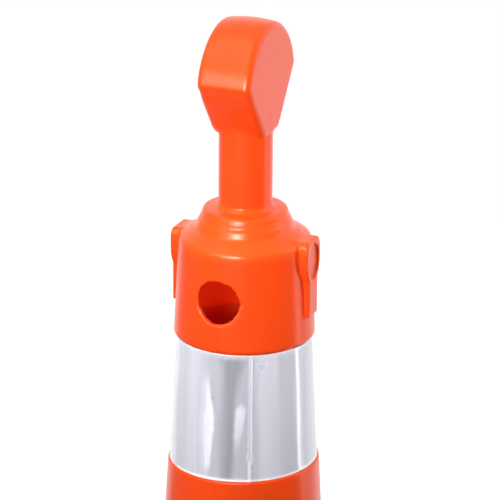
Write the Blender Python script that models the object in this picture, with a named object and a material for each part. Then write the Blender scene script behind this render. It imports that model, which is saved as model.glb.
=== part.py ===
# Traffic barrier post with a T-shaped grab head, two reflective sleeves and a
# slip-over rubber base. Built in metres from sizes in mm, +Z up.
# Origin: centre of the foot, on the ground.
#
# +Y / -Y : the way the bar hole in the cap runs, and the long way of the head
# +X / -X : the two lugs, and the flat faces of the head
#
# The post is one hollow blow-moulded shell. The sleeves are single wraps of film
# in shallow recesses. The base drops over the head and lands on the foot flange.

import math

import bmesh
import bpy
from mathutils import Matrix

MM = 0.001
ROUND_SEGMENTS = 48
SMOOTH_DEG = 32.0        # edges sharper than this stay sharp

# ---------------------------------------------------------------- dimensions (mm)
HEIGHT = 1150.0          # ground to the rims of the head's arch
CAP_LIP_Z = HEIGHT - 236.7  # lower edge of the cap
WALL = 3.0               # blow-moulded wall

# Head and neck
HEAD_HALF_THICK = 20.2   # along X
HEAD_ARCH_R = 46.9       # the head's upper edge is a circular arch
HEAD_ARCH_Z = HEIGHT - HEAD_ARCH_R  # centre of the arch
HEAD_CROWN = 2.0         # the arch stands this much higher in the middle of its thickness
CROWN_STATIONS = (-1.0, -0.62, -0.3, 0.0, 0.3, 0.62, 1.0)  # sections, in half thicknesses
HEAD_CREASE_Z = CAP_LIP_Z + 196.6   # the arch meets the flanks here
HEAD_TAPER_DEG = 35.1    # lower flanks, from vertical
HEAD_FOOT_Z = CAP_LIP_Z + 154.0
HEAD_KNEE = 17.4         # half-width where the flanks meet the rounded foot
HEAD_EDGE_R = 4.2
HOLLOW_HEAD_EDGE_R = 1.5
NECK_R = 19.8
NECK_TOP = 172.0         # above the cap lip, inside the head

# Cap
CAP_TOP_R = 48.8         # at the shoulder corner
CAP_LIP_R = 52.3
BAR_HOLE_R = 16.3
BAR_HOLE_Z = CAP_LIP_Z + 37.6
BAR_HOLE_CUT = 140.0     # length of the cutter
BAR_HOLE_SEGMENTS = 32

# Sleeves
SLEEVE_H = 100.0
FILM = 0.6
FILM_GAP = 0.3           # between film and recess
FILM_END_GAP = 0.4       # above and below the film
UPPER_SLEEVE_TOP = CAP_LIP_Z
UPPER_SLEEVE_LOW = UPPER_SLEEVE_TOP - SLEEVE_H
LOWER_SLEEVE_TOP = CAP_LIP_Z - 2 * SLEEVE_H
LOWER_SLEEVE_LOW = LOWER_SLEEVE_TOP - SLEEVE_H
SEAM_DEG = 25.5          # overlap seam, from -Y towards +X
SEAM_W = 9.0
SEAM_RAMP = 0.8          # width of the step on each side of the overlap
SEAM_CLEAR = 0.01        # radians kept free of regular points beside the seam

# Body
BODY_LIP_R = 56.6        # just under the upper recess
BODY_BEND_R = 58.5       # where the steady taper starts
BODY_BEND_Z = UPPER_SLEEVE_LOW - 34.0
BODY_TAPER = 0.05        # radius per mm of height, down to the foot
RECESS_DEPTH = 2.1       # lower recess
RECESS_EDGE = 0.8        # height of the broken edge beside the lower recess
RECESS_STEP = 0.9        # radius lost over a recess's broken edge

# Lugs, one on each X side
LUG_IN = 38.0            # inner end, buried in the cap
LUG_OUT = 54.0           # outer face
LUG_HALF_W = 13.0
LUG_CORNER = (1.4, 2.6)  # cut off each top corner: across, down
LUG_EDGE_R = 0.9
LUG_TOP_Z = CAP_LIP_Z + 77.0
LUG_LOW_Z = CAP_LIP_Z + 46.5  # lowest point of the circle that shapes the lower end
LUG_ARC_POINTS = 6
LAND_LOW_Z = CAP_LIP_Z + 19.0
LAND_HALF_W = 8.5
DIMPLE_HALF_W = 10.0
DIMPLE_HALF_H = 13.8
DIMPLE_Z = CAP_LIP_Z + 61.0
DIMPLE_DEPTH = 1.6
DIMPLE_SEGMENTS = 20

# Foot flange
FOOT_FLATS = 236.0       # octagonal, across flats
FOOT_T = 10.0

# Rubber base
BASE_FLATS = 400.0
BASE_RIM_H = 24.0
BASE_TOP_H = 46.0
BASE_COLLAR_H = 54.0
BASE_COLLAR_R = 119.0
BASE_HOLE_R = 98.6
POCKET_FLATS = FOOT_FLATS + 1.4
POCKET_H = FOOT_T + 0.5
SLOT_LENGTH = 92.0       # hand slot, along X
SLOT_WIDTH = 22.0
SLOT_DISTANCE = 161.0    # from the axis, along Y
SLOT_END_STEPS = 8


# ---------------------------------------------------------------- profiles
def body_radius(z):
    """Outer radius of the steadily tapered body at height z, below the bend."""
    return BODY_BEND_R + BODY_TAPER * (BODY_BEND_Z - z)


FOOT_R = body_radius(0.0)

# Post radius under each film: top, bottom
UPPER_RECESS = (49.5, 54.3)
LOWER_RECESS = tuple(
    body_radius(z) - RECESS_DEPTH for z in (LOWER_SLEEVE_TOP, LOWER_SLEEVE_LOW))

# Outside of neck, bead, collar, ring, shoulder and cap: (radius, height above the cap lip)
SHOULDER_OUTSIDE = [
    (NECK_R, NECK_TOP),
    (NECK_R, 100.6), (21.2, 99.5), (21.8, 98.4), (21.5, 97.0),
    (26.6, 96.6), (29.3, 96.1), (31.0, 95.1), (32.1, 93.2), (31.9, 92.0), (31.2, 91.4),
    (32.4, 90.7), (32.8, 89.0), (33.6, 87.2), (35.2, 85.7), (36.2, 84.4), (36.7, 82.9),
    (38.4, 81.3), (42.0, 78.6), (45.8, 76.2), (47.6, 74.7), (48.5, 72.9), (CAP_TOP_R, 70.8),
    (50.55, 36.0), (CAP_LIP_R, 1.0), (CAP_LIP_R - 0.3, 0.2), (CAP_LIP_R - 1.2, 0.0),
]

# Inside of the same stretch: (radius, height above the cap lip)
SHOULDER_INSIDE = [
    (NECK_R - WALL, NECK_TOP), (NECK_R - WALL, 98.0), (19.3, 94.2), (27.4, 91.6),
    (29.4, 87.0), (33.4, 82.2), (37.0, 77.8), (43.6, 73.2), (CAP_TOP_R - WALL - 0.3, 70.0),
    (50.4 - WALL, 27.0), (UPPER_RECESS[0] - WALL + 1.1, 4.0),
]


def above_lip(table):
    return [(radius, CAP_LIP_Z + z) for radius, z in table]


def outer_profile():
    """Outside of the post, (radius, z) from neck to ground."""
    top_r = body_radius(LOWER_SLEEVE_TOP)
    low_r = body_radius(LOWER_SLEEVE_LOW)
    profile = above_lip(SHOULDER_OUTSIDE) + [
        (UPPER_RECESS[0], UPPER_SLEEVE_TOP),
        (UPPER_RECESS[1], UPPER_SLEEVE_LOW),
        (BODY_LIP_R - RECESS_STEP, UPPER_SLEEVE_LOW),
        (BODY_LIP_R - 0.1, UPPER_SLEEVE_LOW - 0.7),
        (BODY_BEND_R, BODY_BEND_Z),
        (top_r - 0.1, LOWER_SLEEVE_TOP + RECESS_EDGE),
        (top_r - RECESS_STEP, LOWER_SLEEVE_TOP),
        (LOWER_RECESS[0], LOWER_SLEEVE_TOP),
        (LOWER_RECESS[1], LOWER_SLEEVE_LOW),
        (low_r - RECESS_STEP, LOWER_SLEEVE_LOW),
        (low_r, LOWER_SLEEVE_LOW - RECESS_EDGE),
    ]
    last_z = 14.0
    for k in range(1, 4):
        z = LOWER_SLEEVE_LOW + (last_z - LOWER_SLEEVE_LOW) * k / 3.0
        profile.append((body_radius(z), z))
    profile.append((FOOT_R, 0.0))
    return profile


def inner_profile():
    """Inside of the post, (radius, z) from neck to just below ground."""
    blend = 3.0  # the inside follows each recess edge this far above or below it
    body = [
        (UPPER_RECESS[0], UPPER_SLEEVE_TOP - blend),
        (UPPER_RECESS[1], UPPER_SLEEVE_LOW + blend),
        (BODY_LIP_R, UPPER_SLEEVE_LOW - blend),
        (BODY_BEND_R, BODY_BEND_Z),
        (body_radius(LOWER_SLEEVE_TOP), LOWER_SLEEVE_TOP + blend),
        (LOWER_RECESS[0], LOWER_SLEEVE_TOP - blend),
        (LOWER_RECESS[1], LOWER_SLEEVE_LOW + blend),
        (body_radius(LOWER_SLEEVE_LOW), LOWER_SLEEVE_LOW - blend),
        (FOOT_R, 0.0),
        (FOOT_R, -6.0),
    ]
    return above_lip(SHOULDER_INSIDE) + [(radius - WALL, z) for radius, z in body]


# ---------------------------------------------------------------- helpers
def clear_scene():
    for obj in list(bpy.data.objects):
        bpy.data.objects.remove(obj, do_unlink=True)


def make_material(name, rgb, roughness, metallic=0.0):
    mat = bpy.data.materials.new(name)
    mat.use_nodes = True
    inputs = mat.node_tree.nodes["Principled BSDF"].inputs
    inputs["Base Color"].default_value = (*rgb, 1.0)
    inputs["Roughness"].default_value = roughness
    inputs["Metallic"].default_value = metallic
    return mat


def finish(bm, name, mat=None):
    """Turns the bmesh into a linked, smooth-shaded object."""
    bmesh.ops.recalc_face_normals(bm, faces=bm.faces)
    mesh = bpy.data.meshes.new(name)
    bm.to_mesh(mesh)
    bm.free()
    obj = bpy.data.objects.new(name, mesh)
    bpy.context.scene.collection.objects.link(obj)
    if mat is not None:
        mesh.materials.append(mat)
    mesh.shade_smooth()
    mesh.set_sharp_from_angle(angle=math.radians(SMOOTH_DEG))
    return obj


def guide(obj):
    """Marks an object as a boolean operand that is not itself rendered."""
    obj.hide_render = True
    obj.display_type = "WIRE"
    return obj


def boolean(obj, other, operation):
    modifier = obj.modifiers.new(operation.lower() + "_" + other.name, "BOOLEAN")
    modifier.operation = operation
    modifier.solver = "EXACT"
    modifier.object = other


def skin(sections, closed=False):
    """A bmesh through equal-length rings of (x, y, z) in mm.
    Both ends are capped, unless the last ring joins back to the first."""
    bm = bmesh.new()
    rings = [[bm.verts.new((x * MM, y * MM, z * MM)) for x, y, z in points]
             for points in sections]
    pairs = list(zip(rings, rings[1:]))
    if closed:
        pairs.append((rings[-1], rings[0]))
    count = len(rings[0])
    for ring, following in pairs:
        for i in range(count):
            j = (i + 1) % count
            bm.faces.new((ring[i], ring[j], following[j], following[i]))
    if not closed:
        bm.faces.new(rings[0])
        bm.faces.new(list(reversed(rings[-1])))
    return bm


def turned(name, profile, mat=None):
    """A solid of revolution about Z from an open profile of (radius, z), capped at both ends."""
    angles = [2 * math.pi * i / ROUND_SEGMENTS for i in range(ROUND_SEGMENTS)]
    sections = [[(radius * math.cos(t), radius * math.sin(t), z) for t in angles]
                for radius, z in profile]
    return finish(skin(sections), name, mat)


def octagonal(name, levels, mat=None):
    """A stack of octagons, as (across flats, z), with flats facing X and Y."""
    sections = []
    for flats, z in levels:
        radius = flats / 2 / math.cos(math.pi / 8)
        angles = [math.pi / 8 + k * math.pi / 4 for k in range(8)]
        sections.append([(radius * math.cos(t), radius * math.sin(t), z) for t in angles])
    return finish(skin(sections), name, mat)


# ---------------------------------------------------------------- head
def head_outline(inset=0.0, arch_steps=16):
    """Outline in (y, z): a circular arch, straight flanks down from the crease, a rounded foot."""
    lean = math.radians(HEAD_TAPER_DEG)
    crease_half = math.sqrt(HEAD_ARCH_R ** 2 - (HEAD_CREASE_Z - HEAD_ARCH_Z) ** 2)
    # The +Y flank is the line y * cos(lean) - z * sin(lean) = flank
    flank = crease_half * math.cos(lean) - HEAD_CREASE_Z * math.sin(lean) - inset
    radius = HEAD_ARCH_R - inset
    start = math.acos((flank + HEAD_ARCH_Z * math.sin(lean)) / radius) - lean
    arch = []
    for k in range(arch_steps + 1):
        t = start + (math.pi - 2 * start) * k / arch_steps
        arch.append((radius * math.cos(t), HEAD_ARCH_Z + radius * math.sin(t)))
    z_foot = HEAD_FOOT_Z + inset
    y_knee = HEAD_KNEE - inset * 0.5
    z_knee = (y_knee * math.cos(lean) - flank) / math.sin(lean)
    foot = [(y_knee, z_knee), (y_knee - 4.5, z_foot + 1.4), (7.0, z_foot + 0.3), (0.0, z_foot)]
    return arch + [(-y, z) for y, z in foot] + foot[-2::-1]


def arch_crown(y, z):
    """Outward (y, z) shift at mid-thickness: full at the top of the arch, none at the crease."""
    t = min(max((z - HEAD_CREASE_Z) / (HEIGHT - HEAD_CREASE_Z), 0.0), 1.0)
    shift = HEAD_CROWN * t * t * (3.0 - 2.0 * t)
    length = math.hypot(y, z - HEAD_ARCH_Z)
    return shift * y / length, shift * (z - HEAD_ARCH_Z) / length


def head_solid(name, sections, edge_r, edge_segments):
    """Skins sections along X and rounds the rims of the two end faces."""
    bm = skin(sections)
    rims = {edge for face in bm.faces if len(face.verts) > 4 for edge in face.edges}
    bmesh.ops.bevel(bm, geom=list(rims), offset=edge_r * MM, segments=edge_segments,
                    profile=0.5, affect="EDGES", clamp_overlap=True)
    return guide(finish(bm, name))


def build_head_block():
    outline = [(y, z, *arch_crown(y, z)) for y, z in head_outline()]
    sections = []
    for station in CROWN_STATIONS:
        bulge = 1.0 - station * station
        sections.append([(station * HEAD_HALF_THICK, y + dy * bulge, z + dz * bulge)
                         for y, z, dy, dz in outline])
    return head_solid("head_block", sections, HEAD_EDGE_R, edge_segments=3)


def build_hollow_head():
    half = HEAD_HALF_THICK - WALL
    outline = head_outline(inset=WALL, arch_steps=10)
    sections = [[(x, y, z) for y, z in outline] for x in (-half, half)]
    return head_solid("hollow_head", sections, HOLLOW_HEAD_EDGE_R, edge_segments=1)


# ---------------------------------------------------------------- lugs
def build_lug_pad(side, side_name):
    """A pad with a rounded lower end running into a narrower land, all on one outer face."""
    across, down = LUG_CORNER
    z_mid = LUG_LOW_Z + LUG_HALF_W
    stop = math.acos(LAND_HALF_W / LUG_HALF_W)  # the arc ends where it is as narrow as the land
    right = [(LUG_HALF_W - across, LUG_TOP_Z), (LUG_HALF_W, LUG_TOP_Z - down)]
    for k in range(LUG_ARC_POINTS):
        t = stop * k / (LUG_ARC_POINTS - 1)
        right.append((LUG_HALF_W * math.cos(t), z_mid - LUG_HALF_W * math.sin(t)))
    right.append((LAND_HALF_W, LAND_LOW_Z))
    left = [(-y, z) for y, z in reversed(right)]
    outline = left[-1:] + right + left[:-1]
    bm = skin([[(side * x, y, z) for y, z in outline] for x in (LUG_IN, LUG_OUT)])
    rim = [edge for edge in bm.edges
           if all(abs(abs(vert.co.x) - LUG_OUT * MM) < 1e-6 for vert in edge.verts)]
    bmesh.ops.bevel(bm, geom=rim, offset=LUG_EDGE_R * MM, segments=2,
                    profile=0.5, affect="EDGES")
    return guide(finish(bm, "lug_pad_" + side_name))


def build_lug_dimple(side, side_name):
    """Cutter for the oval recess in the lug's face, narrower at its floor."""
    sections = []
    for x, scale in ((LUG_OUT - DIMPLE_DEPTH, 0.86), (LUG_OUT + 1.0, 1.04)):
        section = []
        for k in range(DIMPLE_SEGMENTS):
            t = 2 * math.pi * k / DIMPLE_SEGMENTS
            y = DIMPLE_HALF_W * scale * math.cos(t)
            z = DIMPLE_Z + DIMPLE_HALF_H * scale * math.sin(t)
            section.append((side * x, y, z))
        sections.append(section)
    return guide(finish(skin(sections), "lug_dimple_" + side_name))


# ---------------------------------------------------------------- pieces
def build_bar_hole():
    """Cutter through the cap along Y."""
    bm = bmesh.new()
    bmesh.ops.create_cone(bm, cap_ends=True, segments=BAR_HOLE_SEGMENTS,
                          radius1=BAR_HOLE_R * MM, radius2=BAR_HOLE_R * MM,
                          depth=BAR_HOLE_CUT * MM)
    bmesh.ops.rotate(bm, verts=bm.verts, cent=(0, 0, 0),
                     matrix=Matrix.Rotation(math.pi / 2, 3, "X"))
    bmesh.ops.translate(bm, verts=bm.verts, vec=(0, 0, BAR_HOLE_Z * MM))
    return guide(finish(bm, "bar_hole"))


def build_post(mat):
    body = turned("post_body", outer_profile(), mat)
    head = build_head_block()
    foot = guide(octagonal("foot_flange", [
        (FOOT_FLATS - 2.0, 0.0), (FOOT_FLATS, 1.0),
        (FOOT_FLATS, FOOT_T - 2.0), (FOOT_FLATS - 4.0, FOOT_T)]))
    hollow = guide(turned("hollow_body", inner_profile()))
    boolean(hollow, build_hollow_head(), "UNION")
    boolean(body, head, "UNION")
    boolean(body, foot, "UNION")
    sides = ((1, "right"), (-1, "left"))  # +X, -X
    for side, side_name in sides:
        boolean(body, build_lug_pad(side, side_name), "UNION")
    # The hollow is cut after the pads, so that it also clears their buried ends
    boolean(body, hollow, "DIFFERENCE")
    for side, side_name in sides:
        boolean(body, build_lug_dimple(side, side_name), "DIFFERENCE")
    boolean(body, build_bar_hole(), "DIFFERENCE")


def build_sleeve(name, z_top, recess, mat):
    """A wrap of film: a thin tapered ring, double thickness where its ends overlap."""
    top_r, low_r = recess
    seam = math.radians(SEAM_DEG - 90.0)
    mid_r = (top_r + low_r) / 2 + FILM_GAP
    half = SEAM_W / 2 / mid_r
    ramp = SEAM_RAMP / mid_r

    # Points around the ring: (angle, extra thickness)
    stations = []
    for i in range(ROUND_SEGMENTS):
        angle = 2 * math.pi * i / ROUND_SEGMENTS
        from_seam = abs((angle - seam + math.pi) % (2 * math.pi) - math.pi)
        if from_seam > half + ramp + SEAM_CLEAR:
            stations.append((angle, 0.0))
    for offset, extra in ((-half - ramp, 0.0), (-half, FILM), (0.0, FILM),
                          (half, FILM), (half + ramp, 0.0)):
        stations.append(((seam + offset) % (2 * math.pi), extra))
    stations.sort()

    top = (z_top - FILM_END_GAP, top_r)
    low = (z_top - SLEEVE_H + FILM_END_GAP, low_r)
    sections = []
    for (z, recess_r), outer in ((top, False), (top, True), (low, True), (low, False)):
        section = []
        for angle, extra in stations:
            radius = recess_r + FILM_GAP + (FILM + extra if outer else 0.0)
            section.append((radius * math.cos(angle), radius * math.sin(angle), z))
        sections.append(section)
    finish(skin(sections, closed=True), name, mat)


def build_hand_slot(side, side_name):
    """Cutter for a round-ended slot along X."""
    end_r = SLOT_WIDTH / 2
    straight = SLOT_LENGTH / 2 - end_r
    outline = []
    for end in (1, -1):
        for k in range(SLOT_END_STEPS + 1):
            t = -end * math.pi / 2 + math.pi * k / SLOT_END_STEPS
            outline.append((end * straight + end_r * math.cos(t), end_r * math.sin(t)))
    sections = [[(x, side * SLOT_DISTANCE + y, z) for x, y in outline] for z in (-10.0, 70.0)]
    return guide(finish(skin(sections), "hand_slot_" + side_name))


def build_base(mat):
    base = octagonal("rubber_base", [
        (BASE_FLATS - 4.0, 0.0), (BASE_FLATS, 2.0),
        (BASE_FLATS, BASE_RIM_H - 3.0), (BASE_FLATS - 6.0, BASE_RIM_H),
        (284.0, BASE_TOP_H), (262.0, BASE_TOP_H + 1.0)], mat)
    collar = turned("collar_ring", [
        (BASE_COLLAR_R - 4.0, BASE_COLLAR_H), (BASE_COLLAR_R, BASE_COLLAR_H - 3.0),
        (BASE_COLLAR_R + 2.0, 30.0)])
    hole = turned("base_hole", [(BASE_HOLE_R, 80.0), (BASE_HOLE_R, -10.0)])
    mouth = turned("base_hole_mouth", [
        (BASE_HOLE_R + 5.0, BASE_COLLAR_H + 1.5), (BASE_HOLE_R - 0.5, BASE_COLLAR_H - 4.0)])
    pocket = octagonal("foot_pocket", [(POCKET_FLATS, -5.0), (POCKET_FLATS, POCKET_H)])
    boolean(base, guide(collar), "UNION")
    for cutter in (hole, mouth, pocket):
        boolean(base, guide(cutter), "DIFFERENCE")
    for side, side_name in ((1, "rear"), (-1, "front")):  # +Y, -Y
        boolean(base, build_hand_slot(side, side_name), "DIFFERENCE")
    return base


def main():
    clear_scene()
    orange = make_material("orange_polyethylene", rgb=(1.0, 0.09, 0.012), roughness=0.42)
    film = make_material("silver_reflective_film", rgb=(0.56, 0.54, 0.60), roughness=0.28,
                         metallic=0.25)
    rubber = make_material("black_rubber", rgb=(0.018, 0.018, 0.019), roughness=0.82)
    build_post(orange)
    build_sleeve("reflective_sleeve_upper", UPPER_SLEEVE_TOP, UPPER_RECESS, film)
    build_sleeve("reflective_sleeve_lower", LOWER_SLEEVE_TOP, LOWER_RECESS, film)
    # The base hangs from an empty on the post's axis
    axis = bpy.data.objects.new("base_lift_axis", None)
    bpy.context.scene.collection.objects.link(axis)
    build_base(rubber).parent = axis
    bpy.context.view_layer.update()


main()
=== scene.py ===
# A barrier post standing upright on the Z axis, the ground at z = 0, in an octagonal rubber base.
# Its hollow orange body ends in a cap: stepped rings, a neck and a flat arched head that spans Y
# and is thin in X. The cap has a lug on each side in X and a bar hole through its walls along Y.
# Two wraps of silver film lie in recesses of the body.
# Lengths are mm. Heights of the post are mm above the cap's lower edge unless said otherwise.
import math
from itertools import product

import bpy
import numpy as np
from mathutils import Matrix, Vector


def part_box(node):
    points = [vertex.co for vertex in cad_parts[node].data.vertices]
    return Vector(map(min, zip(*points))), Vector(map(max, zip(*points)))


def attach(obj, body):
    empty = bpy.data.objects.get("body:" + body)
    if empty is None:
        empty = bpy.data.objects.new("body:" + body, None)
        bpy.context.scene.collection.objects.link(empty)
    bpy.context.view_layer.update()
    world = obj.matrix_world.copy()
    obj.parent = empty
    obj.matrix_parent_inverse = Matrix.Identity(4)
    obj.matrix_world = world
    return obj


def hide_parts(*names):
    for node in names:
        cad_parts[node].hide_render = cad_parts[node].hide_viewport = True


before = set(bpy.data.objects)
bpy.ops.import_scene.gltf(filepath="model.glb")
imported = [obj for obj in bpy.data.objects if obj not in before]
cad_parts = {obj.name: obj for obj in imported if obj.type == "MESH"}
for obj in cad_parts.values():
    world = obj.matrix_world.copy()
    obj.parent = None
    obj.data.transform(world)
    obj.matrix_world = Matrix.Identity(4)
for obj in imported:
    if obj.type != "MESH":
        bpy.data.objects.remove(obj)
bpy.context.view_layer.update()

MM = 0.001
UPPER_SLEEVE, LOWER_SLEEVE = "reflective_sleeve_upper", "reflective_sleeve_lower"
SLEEVE_MARGIN = 0.4     # a recess reaches this far past each end of its CAD sleeve


def sleeve_span(node):
    """Bottom and top of a film recess above the ground."""
    low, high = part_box(node)
    return low.z / MM - SLEEVE_MARGIN, high.z / MM + SLEEVE_MARGIN


CAP = sleeve_span(UPPER_SLEEVE)[1]      # lower edge of the cap above the ground

# cap
WALL = 3.0
NECK_R = 19.8
HEAD_HALF, HEAD_EDGE = 20.5, 4.2        # half-thickness in X, radius of the rim
ARCH_R, ARCH_Z = 46.9, 189.8            # circle of the head's arch
CREASE_Z, LEAN = 196.6, math.radians(35.1)      # where the flanks leave the arch, their slope
KNEE_Y = 17.4                           # half-width at the flanks' lower ends
LUG_X, LUG_TOP = 54.2, 76.7             # outer face and top of a lug
RIB_HALF, RIB_LOW = 8.5, 19.0           # half-width and foot of the rib under it
HOLE_R, HOLE_Z = 16.45, 37.3

# body
CUT_Z = -50.0                           # the cap's mesh is joined to the body's rings here
RECESS_TOP_R, RECESS_LOW_R, RECESS_H = 49.5, 54.3, 100.0    # upper film recess
INNER_TOP_Z = -3.0                      # the inner wall starts its taper here
LOWER_RECESS = 2.1                      # depth of the lower film recess
TAPER_LOW = -134                        # the body widens faster above this height
AROUND = 192                            # vertices in a ring of the body

# film
FILM = 0.55                             # thickness
OVERLAP = 3.1
SEAM = math.radians(27.4 - 90.0)
FRONT = 21.64                           # azimuth of the marks from -Y towards +X, degrees
ARC = 0.883                             # mm of arc per degree

# rubber base
BASE_HALF = 200.0                       # half the width over flats
BASE_EDGE_H, BASE_INNER_H = 24.0, 46.0  # height of the slope at its outer and inner edge
SLOPE_IN = 142.0                        # half-width at the slope's inner edge
BASE_FLAT_H = 46.5
COLLAR_R, COLLAR_H = 119.0, 54.0
BORE_R = 98.6
POCKET_FLATS, POCKET_H = 237.4, 10.5    # room for the post's foot
SLOT_Y, SLOT_HALF, SLOT_R = 161.0, 35.0, 11.0

# mesh
PROJECTIONS, RELAXATIONS = 4, 2         # passes that carry vertices onto the surface, even them


# ------------------------------------------------------------------ small maths
def scatter(value):
    """Pseudo-random -1..1."""
    value = np.sin(value) * 43758.5453
    return (value - np.floor(value)) * 2 - 1


def noise_line(x, seed):
    """Smooth 1-D value noise in -1..1."""
    cell = np.floor(x)
    x = x - cell
    x = x * x * (3 - 2 * x)

    def knot(n):
        return scatter(n * 127.1 + seed * 311.7)

    return knot(cell) * (1 - x) + knot(cell + 1) * x


def noise_plane(x, y, seed):
    """Smooth 2-D value noise in -1..1."""
    column, row = np.floor(x), np.floor(y)
    x, y = x - column, y - row
    x, y = x * x * (3 - 2 * x), y * y * (3 - 2 * y)

    def knot(i, j):
        return scatter(i * 127.1 + j * 269.5 + seed * 74.7)

    return ((knot(column, row) * (1 - x) + knot(column + 1, row) * x) * (1 - y)
            + (knot(column, row + 1) * (1 - x) + knot(column + 1, row + 1) * x) * y)


def soft_min(a, b, soft):
    share = np.clip(0.5 + 0.5 * (b - a) / soft, 0, 1)
    return b * (1 - share) + a * share - soft * share * (1 - share)


def soft_max(a, b, soft):
    return -soft_min(-a, -b, soft)


def smooth(start, end, x):
    """0 at start to 1 at end, eased; start may lie above end."""
    part = np.clip((x - start) / (end - start), 0, 1)
    return part * part * (3 - 2 * part)


def bell(offset, width):
    return np.exp(-(offset / width) ** 2)


def curve(x, knots):
    """Straight lines between (x, value) knots."""
    return np.interp(x, *np.transpose(knots))


class Outline:
    """Signed distance to a closed 2-D outline, on a grid blurred a little to soften its edges."""

    def __init__(self, points, low, high, step, soft):
        self.low, self.step = low, step
        lines = [low[k] + np.arange(int(math.ceil((high[k] - low[k]) / step)) + 1) * step
                 for k in (0, 1)]
        x, y = np.meshgrid(*lines, indexing="ij")
        nearest = np.full(x.shape, 1e9)
        inside = np.zeros(x.shape, bool)
        for (x0, y0), (x1, y1) in zip(points, points[1:] + points[:1]):
            dx, dy = x1 - x0, y1 - y0
            along = np.clip(((x - x0) * dx + (y - y0) * dy) / max(dx * dx + dy * dy, 1e-12), 0, 1)
            nearest = np.minimum(nearest, (x - x0 - along * dx) ** 2 + (y - y0 - along * dy) ** 2)
            if dy != 0:
                inside ^= ((y0 > y) != (y1 > y)) & (x < x0 + (y - y0) * dx / dy)
        distance = np.sqrt(nearest)
        distance[inside] *= -1
        reach = max(1, int(round(3 * soft / step)))
        weights = np.exp(-0.5 * (np.arange(-reach, reach + 1) * step / soft) ** 2)
        weights /= weights.sum()
        for axis in (0, 1):
            margin = [(0, 0), (0, 0)]
            margin[axis] = (reach, reach)
            padded = np.pad(distance, margin, mode="edge")
            span = np.arange(distance.shape[axis])
            distance = sum(w * padded.take(span + k, axis) for k, w in enumerate(weights))
        self.distance = distance

    def __call__(self, x, y):
        table = self.distance
        x = np.clip((x - self.low[0]) / self.step, 0, table.shape[0] - 1.001)
        y = np.clip((y - self.low[1]) / self.step, 0, table.shape[1] - 1.001)
        i, j = x.astype(int), y.astype(int)
        x, y = x - i, y - j
        return ((table[i, j] * (1 - x) + table[i + 1, j] * x) * (1 - y)
                + (table[i, j + 1] * (1 - x) + table[i + 1, j + 1] * x) * y)


# ------------------------------------------------------------------ implicit surface to mesh
def steps(low, high, spacing):
    """Grid lines from low to high whose spacing follows spacing(position)."""
    lines = [low]
    while lines[-1] < high:
        lines.append(lines[-1] + spacing(lines[-1]))
    return np.array(lines)


def cell_points(values, cells, axes):
    """One point in each cell: the mean of where its edges cross the surface."""
    total = np.zeros((len(cells), 3))
    count = np.zeros(len(cells))
    corners = {}
    for offset in product((0, 1), repeat=3):
        index = (cells + offset).T
        place = np.stack([axis[i] for axis, i in zip(axes, index)], 1)
        corners[offset] = (values[tuple(index)].astype(float), place)
    for offset, (value0, place0) in corners.items():
        for axis in range(3):
            if offset[axis]:
                continue
            other = list(offset)
            other[axis] = 1
            value1, place1 = corners[tuple(other)]
            crossed = (value0 < 0) != (value1 < 0)
            part = np.where(crossed, value0 / np.where(crossed, value0 - value1, 1.0), 0)[:, None]
            total += np.where(crossed[:, None], place0 + (place1 - place0) * part, 0)
            count += crossed
    return total / count[:, None]


def cell_faces(inside, number):
    """A quad round each grid edge that crosses the surface, facing outwards."""
    faces = []
    for axis in range(3):
        below = [slice(1, -1)] * 3
        above = list(below)
        below[axis], above[axis] = slice(0, -1), slice(1, None)
        start, end = inside[tuple(below)], inside[tuple(above)]
        crossed = np.argwhere(start != end)
        cell = crossed + 1
        cell[:, axis] -= 1
        corners = []
        for du, dw in ((-1, -1), (0, -1), (0, 0), (-1, 0)):
            corner = cell.copy()
            corner[:, (axis + 1) % 3] += du
            corner[:, (axis + 2) % 3] += dw
            corners.append(number[tuple(corner.T)])
        quads = np.stack(corners, 1)
        flip = end[tuple(crossed.T)]
        quads[flip] = quads[flip][:, ::-1]
        faces.append(quads)
    return np.concatenate(faces)


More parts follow.
